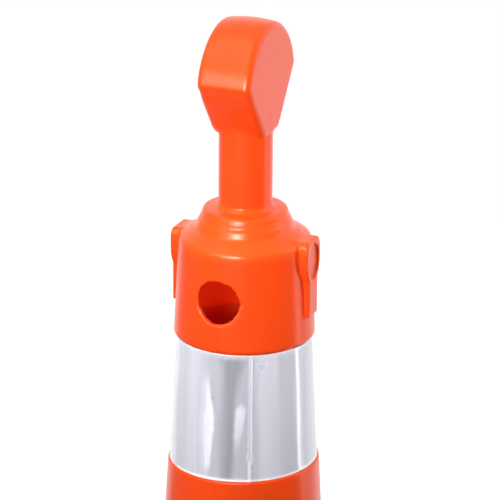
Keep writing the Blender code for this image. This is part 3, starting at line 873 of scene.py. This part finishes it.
def base_field(x, y, z):
    radius = np.hypot(x, y)
    rim = octagon_distance(x, y, BASE_HALF)
    slope = (BASE_INNER_H - BASE_EDGE_H) / (BASE_HALF - SLOPE_IN)
    top = (z - BASE_EDGE_H + slope * rim) / math.hypot(1, slope)
    top = soft_max(top, z - BASE_FLAT_H, 6.0)
    distance = soft_max(soft_max(rim, top, 5.0), -z, 3.0)
    collar = soft_max(radius - COLLAR_R - 0.12 * (COLLAR_H - z), z - COLLAR_H, 4.0)
    distance = soft_min(distance, soft_max(collar, 20 - z, 1.0), 4.0)
    # the hole opens out at its top and over the root of the foot flange
    hole = radius - BORE_R
    flare = 3.5 * smooth(48, 54.5, z) + 3.6 * smooth(14.6, 12.2, z)
    distance = soft_max(distance, -np.where(z > 8, hole - flare, hole), 1.5)
    pocket = soft_max(octagon_distance(x, y, POCKET_FLATS / 2), z - POCKET_H, 1.0)
    distance = soft_max(distance, -pocket, 1.0)
    # a slot along X near each edge in Y, flared at both ends
    slot = np.hypot(np.maximum(np.abs(x) - SLOT_HALF, 0), np.abs(y) - SLOT_Y)
    slot = slot - SLOT_R - 2.5 * smooth(30, 40, z) - 2.0 * smooth(6, 0, z)
    distance = soft_max(distance, -slot, 2.5)
    # shallow diagonal drain grooves on the underside
    groove = soft_max(np.abs(np.abs(x) - np.abs(y)) * 0.7071 - 4.0, z - 3.0, 1.5)
    groove = soft_max(groove, 126.0 - radius, 1.0)
    return soft_max(distance, -groove, 1.5)


def build_base(materials):
    lines = steps(-201.5, 202, lambda x: 2.6)
    levels = steps(-1.3, 56, lambda z: 1.3 if z < 3 or 7 < z < 13 or z > 40 else 2.3)
    points, faces = implicit_mesh(base_field, lines, lines, levels, probe=0.3)
    x, y, z = points.T
    # granulate surface
    grain = (0.10 * noise_plane(x / 3.1, y / 3.1, 4.0)
             + 0.08 * noise_plane(x / 1.9 + 9, z / 1.9, 7.0))
    points[:, 2] = np.maximum(np.where((z > 12) & (z < 53.5), z + grain, z), 0.0)
    mesh = Builder()
    mesh.add_points(points)
    mesh.add_faces(faces)
    return mesh.object("rubber_base_moulding", materials)


# ------------------------------------------------------------------ node helpers
class Graph:
    """Makes linked nodes. An input takes a value or another node's output."""

    def __init__(self, tree):
        self.tree = tree

    def put(self, socket, value):
        if isinstance(value, bpy.types.NodeSocket):
            self.tree.links.new(value, socket)
        else:
            socket.default_value = value

    def node(self, kind, inputs={}, **settings):
        node = self.tree.nodes.new(kind)
        for key, value in settings.items():
            setattr(node, key, value)
        for key, value in inputs.items():
            self.put(node.inputs[key], value)
        return node

    def math(self, operation, *values):
        return self.node("ShaderNodeMath", dict(enumerate(values)), operation=operation).outputs[0]

    def times(self, a, b):
        return self.math("MULTIPLY", a, b)

    def mix(self, share, a, b, blend="MIX"):
        a, b = [(*color, 1.0) if isinstance(color, tuple) else color for color in (a, b)]
        return self.node("ShaderNodeMix", {0: share, 6: a, 7: b},
                         data_type="RGBA", blend_type=blend).outputs[2]

    def coords(self, stretch=(1, 1, 1)):
        position = self.node("ShaderNodeTexCoord").outputs["Object"]
        return self.node("ShaderNodeMapping", {"Vector": position, "Scale": stretch}).outputs[0]

    def noise(self, scale=1.0, stretch=(1, 1, 1), detail=2.0, rough=0.5):
        return self.node("ShaderNodeTexNoise", {
            "Vector": self.coords(stretch), "Scale": scale, "Detail": detail,
            "Roughness": rough}).outputs[0]

    def remap(self, value, span, to, **settings):
        inputs = dict(enumerate((value, *span, *to)))
        return self.node("ShaderNodeMapRange", inputs, **settings).outputs[0]

    def bump(self, height, strength, distance):
        return self.node("ShaderNodeBump", {
            "Height": height, "Strength": strength, "Distance": distance}).outputs[0]

    def principled(self, inputs):
        shader = self.node("ShaderNodeBsdfPrincipled", inputs)
        self.node("ShaderNodeOutputMaterial", {0: shader.outputs[0]})


def empty_graph(owner):
    owner.use_nodes = True
    owner.node_tree.nodes.clear()
    return Graph(owner.node_tree)


def new_material(name):
    material = bpy.data.materials.new(name)
    return material, empty_graph(material)


# ------------------------------------------------------------------ materials
ORANGE, WARM_ORANGE = (0.92, 0.062, 0.0050), (0.90, 0.074, 0.0065)
STREAK_ORANGE, RING_PAINTED_LIGHT_ORANGE = (0.98, 0.088, 0.010), (0.98, 0.100, 0.010)
LINE_ORANGE, NICK_ORANGE = (0.62, 0.026, 0.003), (0.62, 0.030, 0.004)


def plastic(name, inside):
    material, graph = new_material(name)
    times, remap = graph.times, graph.remap
    position = graph.node("ShaderNodeTexCoord").outputs["Object"]
    position = graph.node("ShaderNodeSeparateXYZ", {0: position})

    def by_height(span, to):
        """Remaps the height; span is mm from the cap's lower edge."""
        return remap(position.outputs[2], span=[(CAP + z) * MM for z in span], to=to)

    streak = graph.noise(stretch=(420, 420, 14), detail=3.0, rough=0.6)
    cloud = graph.noise(scale=28.0, detail=3.0, rough=0.55)
    fine = graph.noise(scale=900.0)
    color = graph.mix(remap(cloud, span=(0.3, 0.7), to=(0.0, 0.5)), ORANGE, WARM_ORANGE)
    color = graph.mix(remap(streak, span=(0.45, 0.75), to=(0.0, 0.22)), color, STREAK_ORANGE)
    if inside:
        # painted shade: the inside wall is a 20 % darker copy of the orange
        color = graph.mix(0.20, color, (0.0, 0.0, 0.0))
    # painted light: the rings are painted paler, as if lit more from the front-left and above
    pale = times(by_height(span=(67, 73), to=(0.0, 0.62)), by_height(span=(99, 104), to=(1.0, 0.0)))
    color = graph.mix(pale, color, RING_PAINTED_LIGHT_ORANGE)

    streak_depth, fine_depth, cloud_depth, nick_depth = 0.10, 0.03, 0.8, 0.8
    if not inside:
        across = graph.math("ABSOLUTE", position.outputs[0])
        # parting line: a thin darker broken line round x = 0
        line = remap(across, span=(0.00018, 0.00045), to=(1.0, 0.0))
        broken = graph.noise(stretch=(60, 60, 150), rough=0.6)
        on_rings = by_height(span=(106, 100), to=(0.12, 1.0))
        on_head = by_height(span=(152, 170), to=(0.0, 0.8))
        line = times(line, graph.math("ADD", on_rings, on_head))
        line = times(line, remap(broken, span=(0.42, 0.62), to=(0.15, 0.65)))
        color = graph.mix(line, color, LINE_ORANGE)
        # fine nicks down the ends of the head, just above its crease
        nick = remap(graph.noise(stretch=(800, 800, 60)), span=(0.56, 0.66), to=(0.0, 0.75))
        end = remap(across, span=(0.0145, 0.0175), to=(1.0, 0.0))
        low = by_height(span=(197, 199), to=(0.0, 1.0))
        high = by_height(span=(204, 214), to=(1.0, 0.0))
        nick = times(times(nick, end), times(low, high))
        color = graph.mix(nick, color, NICK_ORANGE)
        # the moulding streaks are deepest down the ends of the head
        low = by_height(span=(190, 197), to=(0.0, 1.0))
        high = by_height(span=(212, 226), to=(1.0, 0.0))
        deeper = times(times(end, 0.42), times(low, high))
        streak_depth = graph.math("ADD", deeper, streak_depth)

    relief = graph.math("ADD", times(streak, streak_depth), times(fine, fine_depth))
    relief = graph.math("ADD", relief, times(cloud, cloud_depth))
    if not inside:
        relief = graph.math("SUBTRACT", relief, times(nick, nick_depth))
    inputs = {
        "Base Color": color,
        "Roughness": remap(cloud, span=(0.3, 0.7), to=(0.280, 0.290)),
        "IOR": 1.5,
        "Specular IOR Level": 0.30,
        "Specular Tint": (1.0, 0.97, 0.80, 1),
        "Normal": graph.bump(relief, strength=0.35, distance=0.00012)}
    if inside:
        # painted glow: emission stands in for light let through the cap's bare wall; the wall
        # behind the film gets none
        inputs["Emission Color"] = (1.0, 0.020, 0.004, 1)
        inputs["Emission Strength"] = by_height(span=(1.5, 4.5), to=(0.0, 0.22))
    graph.principled(inputs)
    return material


def film():
    material, graph = new_material("silver_reflective_film")
    band = graph.noise(stretch=(55, 55, 3.5))
    soft = graph.noise(scale=40.0, stretch=(1, 1, 0.5), detail=3.0, rough=0.55)
    grain = graph.noise(scale=2600.0, detail=1.0)
    color = graph.mix(graph.remap(band, span=(0.35, 0.65), to=(0.0, 1.0)),
                      (0.735, 0.717, 0.820), (0.810, 0.805, 0.900))
    color = graph.mix(graph.remap(grain, span=(0.35, 0.65), to=(0.0, 0.12)),
                      color, (0.90, 0.90, 0.94))
    tone = graph.node("ShaderNodeAttribute", attribute_name="tone").outputs["Color"]
    relief = graph.math("ADD", graph.times(soft, 1.0), graph.times(grain, 0.02))
    graph.principled({
        "Base Color": graph.mix(1.0, color, tone, blend="MULTIPLY"),
        "Metallic": 0.12,
        "Roughness": graph.remap(soft, span=(0.3, 0.7), to=(0.16, 0.26)),
        "Coat Weight": 0.35,
        "Coat Roughness": 0.06,
        "Normal": graph.bump(relief, strength=0.5, distance=0.0004)})
    return material


def film_edge():
    material, graph = new_material("film_cut_edge")
    noise = graph.noise(scale=120.0, detail=3.0, rough=0.6)
    graph.principled({
        "Base Color": graph.mix(graph.remap(noise, span=(0.35, 0.7), to=(0.0, 1.0)),
                                (0.86, 0.84, 0.88), (0.97, 0.96, 0.98)),
        "Roughness": graph.remap(noise, span=(0.3, 0.7), to=(0.25, 0.45)),
        "Normal": graph.bump(noise, strength=0.4, distance=0.0003)})
    return material


def rubber():
    material, graph = new_material("black_granulate_rubber")
    grains = graph.node("ShaderNodeTexVoronoi", {"Scale": 420.0, "Vector": graph.coords()})
    grains = grains.outputs["Distance"]
    cloud = graph.noise(scale=14.0, detail=4.0, rough=0.6)
    fine = graph.noise(scale=700.0, detail=3.0, rough=0.6)
    color = graph.mix(graph.remap(grains, span=(0.1, 0.7), to=(0.0, 1.0)),
                      (0.020, 0.020, 0.021), (0.038, 0.037, 0.036))
    color = graph.mix(graph.remap(cloud, span=(0.45, 0.75), to=(0.0, 0.5)),
                      color, (0.060, 0.056, 0.052))
    relief = graph.math("ADD", grains, graph.times(fine, 0.5))
    graph.principled({
        "Base Color": color,
        "Roughness": graph.remap(fine, span=(0.3, 0.7), to=(0.62, 0.85)),
        "Normal": graph.bump(relief, strength=0.6, distance=0.0006)})
    return material


# ------------------------------------------------------------------ pieces
def register(piece, carrier, cad_node):
    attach(piece, carrier)
    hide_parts(cad_node)


plastics = [plastic("orange_moulded_plastic", inside=False),
            plastic("orange_plastic_inside", inside=True)]
register(build_post(plastics), "post", "post_body")

films = [film(), film_edge()]
register(build_film("film_wrap_upper", UPPER_SLEEVE, (RECESS_TOP_R, RECESS_LOW_R), films,
                    seed=1.0, seam=SEAM, marked=True),
         "post", UPPER_SLEEVE)
lower_recess = [body_radius(z) - LOWER_RECESS for z in (-200.0, -300.0)]
register(build_film("film_wrap_lower", LOWER_SLEEVE, lower_recess, films,
                    seed=2.0, seam=SEAM + 0.9, marked=False),
         "post", LOWER_SLEEVE)

register(build_base([rubber()]), "base", "rubber_base")


# ------------------------------------------------------------------ studio, metres
CAMERA_TURN = math.radians(21.642)      # azimuth from -Y towards +X
TO_CAMERA = Vector((math.sin(CAMERA_TURN), -math.cos(CAMERA_TURN), 0))
WHITE = (1, 1, 1, 1)

# (azimuth from the camera's side, positive to the camera's right, level) of the surroundings
WORLD_LEVELS = [
    (-180, 1.20), (-152, 1.25), (-138, 0.95), (-124, 0.31), (-111, 0.37), (-95, 0.28),
    (-50, 0.20), (0, 0.12), (50, 0.12), (84, 0.11), (97, 0.46), (108, 1.00), (118, 1.30),
    (128, 1.45), (142, 1.42), (158, 1.20), (180, 1.20)]


def build_world():
    """Bright behind the post and dim behind the camera; the camera itself sees plain white."""
    world = bpy.data.worlds.new("studio_world")
    bpy.context.scene.world = world
    graph = empty_graph(world)
    direction = graph.node("ShaderNodeTexCoord").outputs["Generated"]

    def along(axis):
        return graph.node("ShaderNodeVectorMath", {0: direction, 1: axis},
                          operation="DOT_PRODUCT").outputs["Value"]

    azimuth = graph.math("ARCTAN2", along((math.cos(CAMERA_TURN), math.sin(CAMERA_TURN), 0)),
                         along(TO_CAMERA))
    unit = graph.remap(azimuth, span=(-math.pi, math.pi), to=(0.0, 1.0))
    levels = graph.node("ShaderNodeFloatCurve", {"Value": unit})
    points = levels.mapping.curves[0].points
    while len(points) < len(WORLD_LEVELS):
        points.new(0.5, 0.5)
    for point, (degrees, level) in zip(points, WORLD_LEVELS):
        point.location = ((degrees + 180) / 360, level / 2)
        point.handle_type = "AUTO_CLAMPED"
    levels.mapping.update()
    # the zenith is dimmer than the horizon
    upward = graph.node("ShaderNodeSeparateXYZ", {0: direction}).outputs[2]
    dimming = graph.remap(upward, span=(0.30, 0.85), to=(2.0, 0.8),
                          interpolation_type="SMOOTHSTEP")
    strength = graph.times(levels.outputs[0], dimming)
    lit, plain = [graph.node("ShaderNodeBackground", {0: WHITE, 1: value}).outputs[0]
                  for value in (strength, 1.0)]
    seen = graph.node("ShaderNodeLightPath").outputs["Is Camera Ray"]
    shader = graph.node("ShaderNodeMixShader", {0: seen, 1: lit, 2: plain}).outputs[0]
    graph.node("ShaderNodeOutputWorld", {0: shader})


def build_floor():
    half, drop = 9, 0.0005
    mesh = bpy.data.meshes.new("studio_floor")
    mesh.from_pydata([(-half, -half, 0), (half, -half, 0), (half, half, 0), (-half, half, 0)],
                     [], [(0, 1, 2, 3)])
    floor = bpy.data.objects.new("studio_floor", mesh)
    floor.location.z = -drop
    bpy.context.scene.collection.objects.link(floor)
    material, graph = new_material("pale_floor")
    mesh.materials.append(material)
    noise = graph.noise(scale=1.3, detail=3.0)
    color = graph.mix(graph.remap(noise, span=(0.3, 0.7), to=(0.0, 1.0)),
                      (0.79, 0.79, 0.80), (0.82, 0.82, 0.82))
    diffuse = graph.node("ShaderNodeBsdfDiffuse", {"Color": color}).outputs[0]
    glow = graph.node("ShaderNodeEmission", {"Strength": 0.72}).outputs[0]
    shader = graph.node("ShaderNodeAddShader", {0: diffuse, 1: glow}).outputs[0]
    graph.node("ShaderNodeOutputMaterial", {0: shader})
    # the floor neither lights the post nor shows in its reflections
    floor.visible_glossy = False
    floor.visible_diffuse = False


def area(name, azimuth, distance, z, size, power, aim_z, spread=None):
    """A panel aimed at the post's axis; azimuth in degrees from the camera, right positive."""
    light = bpy.data.lights.new(name, "AREA")
    light.shape = "RECTANGLE"
    light.size, light.size_y = size
    light.energy = power
    if spread is not None:
        light.spread = math.radians(spread)
    lamp = bpy.data.objects.new(name, light)
    bpy.context.scene.collection.objects.link(lamp)
    angle = CAMERA_TURN + math.radians(azimuth)
    lamp.location = Vector((math.sin(angle) * distance, -math.cos(angle) * distance, z))
    aim = Vector((0, 0, aim_z)) - lamp.location
    lamp.rotation_euler = aim.to_track_quat("-Z", "Y").to_euler()
    return lamp


def feather(lamp, gain=1.7, power=0.9):
    """Fades a softbox towards its edges, as its diffuser does."""
    lamp.data.use_nodes = True
    graph = Graph(lamp.data.node_tree)
    emission = next(node for node in graph.tree.nodes if node.type == "EMISSION")
    place = graph.node("ShaderNodeNewGeometry").outputs["Parametric"]
    place = graph.node("ShaderNodeSeparateXYZ", {0: place})
    fade = gain
    for axis in (0, 1):
        across = place.outputs[axis]
        part = graph.times(across, graph.math("SUBTRACT", 1.0, across))
        fade = graph.times(fade, graph.math("POWER", graph.times(part, 4.0), power))
    graph.put(emission.inputs["Strength"], fade)


def build_lights():
    # the key and the right fill are gridded, so that they fall off down the body
    key = area("key_softbox", azimuth=-19.5, distance=0.95, z=1.27, size=(0.36, 0.46),
               power=2.85, aim_z=1.10, spread=80)
    card = area("left_card", azimuth=-44, distance=1.0, z=1.42, size=(0.42, 0.70),
                power=5.0, aim_z=1.10)
    core = area("key_core", azimuth=-19.5, distance=0.96, z=1.27, size=(0.36, 0.46),
                power=1.15, aim_z=1.10, spread=80)
    card.visible_diffuse = core.visible_diffuse = False
    for lamp in (key, core, card):
        feather(lamp)
    top = area("top_panel", azimuth=-75, distance=0.55, z=2.2, size=(0.9, 0.9),
               power=14.5, aim_z=1.05)
    side = area("right_fill", azimuth=95, distance=0.85, z=1.55, size=(0.7, 0.7),
                power=0.84, aim_z=1.09, spread=45)
    top.visible_glossy = side.visible_glossy = False
    area("right_strip", azimuth=97, distance=1.3, z=0.95, size=(0.07, 1.22),
         power=2.8, aim_z=0.95)


def build_camera():
    distance, height = 2391.19, 922.49      # mm from the axis, mm above the cap's lower edge
    yaw, pitch, roll = math.radians(-0.117), math.radians(19.801), math.radians(0.455)
    data = bpy.data.cameras.new("camera")
    camera = bpy.data.objects.new("camera", data)
    bpy.context.scene.collection.objects.link(camera)
    bpy.context.scene.camera = camera
    data.sensor_width = 36.0
    data.lens = 248.62176
    data.clip_end = 50.0
    data.shift_x, data.shift_y = -0.00334, 0.0018
    heading = CAMERA_TURN + yaw
    forward = Vector((-math.sin(heading) * math.cos(pitch), math.cos(heading) * math.cos(pitch),
                      -math.sin(pitch)))
    level = Vector((math.cos(heading), math.sin(heading), 0))
    upright = level.cross(forward)
    right = level * math.cos(roll) + upright * math.sin(roll)
    up = -level * math.sin(roll) + upright * math.cos(roll)
    matrix = Matrix((right, up, -forward)).transposed().to_4x4()
    matrix.translation = Vector((distance * math.sin(CAMERA_TURN) * MM,
                                 -distance * math.cos(CAMERA_TURN) * MM, (height + CAP) * MM))
    camera.matrix_world = matrix


bpy.context.scene.view_settings.view_transform = "Standard"
bpy.context.scene.view_settings.look = "None"
build_world()
build_floor()
build_lights()
build_camera()
